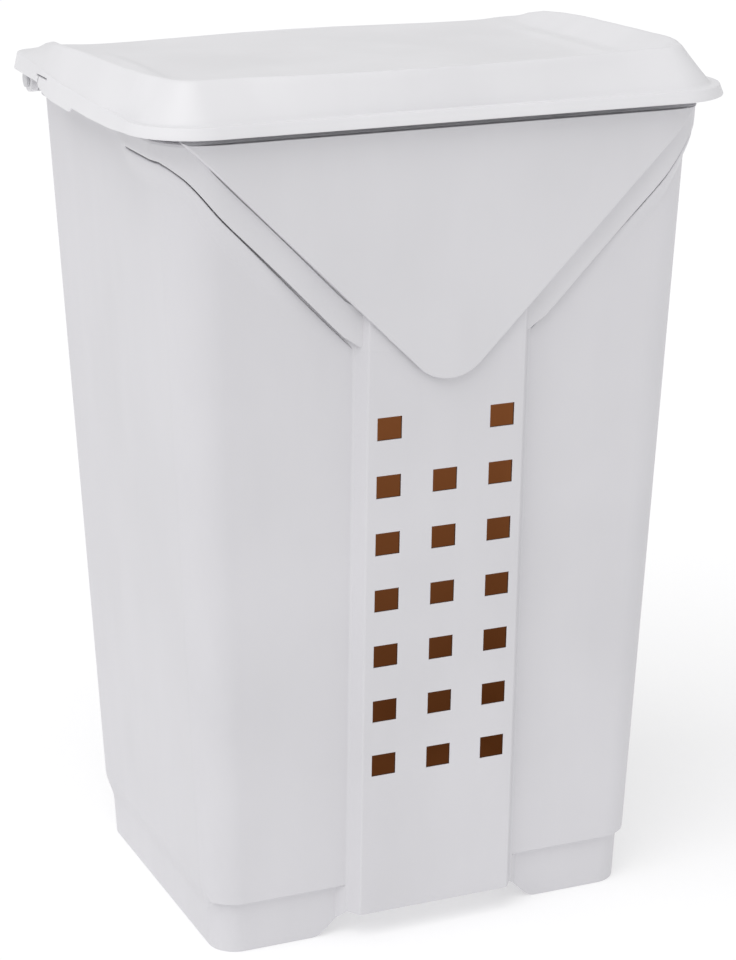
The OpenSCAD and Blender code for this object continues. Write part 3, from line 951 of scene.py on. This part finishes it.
def inner_plastic(name, color, shade_top, shade_low):
    """The tub's inside: white near the mouth, and a warm brown painted shade from the vent rows down, darker
    towards the bottom, which also emits a faint brown painted light in place of light let through the walls.
    """
    material, tree, shader = principled(name)
    coords = tree.nodes.new("ShaderNodeTexCoord").outputs["Object"]
    split = tree.nodes.new("ShaderNodeSeparateXYZ")
    tree.links.new(coords, split.inputs[0])
    height = split.outputs["Z"]
    cloud = add_noise(tree, coords, 9.0, 4.0)
    fine = add_noise(tree, coords, 1800.0, 2.0)
    # painted shade: the brown gets darker towards the bottom of the tub
    low = ramp(tree, height, 0.05, 0.30, 0, 1)
    brown = mix_color(tree, low, shade_low, shade_top)
    darker = tuple(c * 0.8 for c in shade_top)
    brown = mix_color(tree, ramp(tree, cloud, 0.35, 0.7, 0, 0.35), brown, darker)
    tint = mix_color(tree, ramp(tree, height, 0.36, 0.52, 0, 1), brown, color)
    tree.links.new(tint, shader.inputs["Base Color"])
    # painted light: the brown inside emits faintly, standing in for light let through the walls
    painted_glow = mix_color(tree, ramp(tree, height, 0.40, 0.50, 0, 1), brown, (0, 0, 0))
    tree.links.new(painted_glow, shader.inputs["Emission Color"])
    shader.inputs["Emission Strength"].default_value = 0.35
    tree.links.new(ramp(tree, cloud, 0.3, 0.7, 0.5, 0.62), shader.inputs["Roughness"])
    tree.links.new(add_bump(tree, fine, 0.06, 0.0003), shader.inputs["Normal"])
    shader.inputs["Specular IOR Level"].default_value = 0.3
    return material


def floor_material():
    material, tree, shader = principled("floor_paper")
    coords = tree.nodes.new("ShaderNodeTexCoord").outputs["Object"]
    cloud = add_noise(tree, coords, 1.5, 2.0)
    tint = mix_color(tree, ramp(tree, cloud, 0.3, 0.7, 0, 1), *FLOOR_COLORS)
    tree.links.new(tint, shader.inputs["Base Color"])
    shader.inputs["Emission Color"].default_value = (1.0, 1.0, 1.0, 1)
    shader.inputs["Emission Strength"].default_value = FLOOR_GLOW
    shader.inputs["Roughness"].default_value = 0.9
    shader.inputs["Specular IOR Level"].default_value = 0.0
    return material


# ---------- build ----------

tub_plastic = plastic("tub_plastic_white", TUB_COLOR, 0.50)
collar_plastic = plastic("collar_plastic_white", COLLAR_COLOR, 0.48)
lid_plastic = plastic("lid_plastic_white", LID_COLOR, 0.40, grain=0.035)
pin_plastic = plastic("pin_plastic_white", PIN_COLOR, 0.42)
# the tub's inside carries painted shade and a faint painted light
tub_inside_painted_shade = inner_plastic("tub_inside_painted_shade", INSIDE_COLOR, SHADE_TOP, SHADE_LOW)
# dark brown painted shade on the walls inside the vent holes
vent_walls_painted_shade = plastic("vent_walls_painted_shade", VENT_SHADE_COLOR, 0.55)

tub = build_tub(tub_plastic, tub_inside_painted_shade, vent_walls_painted_shade)
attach(tub, "hamper")
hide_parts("tub")

collar = build_collar(collar_plastic)
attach(collar, "hamper")
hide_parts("collar")

flap = build_flap(collar_plastic)
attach(flap, "hamper")

lid = build_lid(lid_plastic)
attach(lid, "lid")
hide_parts("lid")

rib = build_rib(lid_plastic)
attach(rib, "lid")

for side, name in ((-1, "left"), (1, "right")):
    lug = plate_part("lid_lug_" + name, lug_outline(AXIS_Y + LUG_R, LID_Z + FLANGE_H - 0.001, LUG_R),
                     side * (LUG_X - LUG_T), side * LUG_X, LUG_EDGE, lid_plastic)
    finish_mesh(lug, 40)
    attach(lug, "lid")

for name, material in (("hinge_bracket_left", collar_plastic), ("hinge_bracket_right", collar_plastic),
                       ("hinge_pin_left", pin_plastic), ("hinge_pin_right", pin_plastic)):
    part = frame["nodes"][name]
    for slot in part.material_slots:
        slot.material = material
    weld = part.modifiers.new("weld", "WELD")
    weld.merge_threshold = PART_WELD
    rounding = part.modifiers.new("rounded_edges", "BEVEL")
    rounding.width = PART_EDGE
    rounding.segments = 2
    rounding.limit_method = "ANGLE"
    rounding.angle_limit = math.radians(40)

# ---------- floor, light and camera ----------

bpy.ops.mesh.primitive_plane_add(size=FLOOR_SIZE, location=(0, 0, 0))
floor = bpy.context.object
floor.name = "floor"
floor.data.materials.append(floor_material())

scene = bpy.context.scene
scene.view_settings.view_transform = "Standard"
world = bpy.data.worlds.new("studio")
scene.world = world
world.use_nodes = True
world.node_tree.nodes["Background"].inputs["Color"].default_value = (1.0, 1.0, 1.0, 1)
world.node_tree.nodes["Background"].inputs["Strength"].default_value = WORLD_STRENGTH

key_data = bpy.data.lights.new("key", "SUN")
key_data.energy = KEY_ENERGY
key_data.angle = KEY_SPREAD
key = bpy.data.objects.new("key", key_data)
key.rotation_euler = KEY_FROM.to_track_quat("Z", "Y").to_euler()
scene.collection.objects.link(key)

back = Vector((math.sin(AZIMUTH) * math.cos(ELEVATION), -math.cos(AZIMUTH) * math.cos(ELEVATION),
               math.sin(ELEVATION)))
camera_data = bpy.data.cameras.new("camera")
camera_data.sensor_width = SENSOR
camera_data.lens = SENSOR * FOCAL_SHARE
camera = bpy.data.objects.new("camera", camera_data)
camera.location = TARGET + back * DISTANCE
camera.rotation_euler = back.to_track_quat("Z", "Y").to_euler()
scene.collection.objects.link(camera)
scene.camera = camera
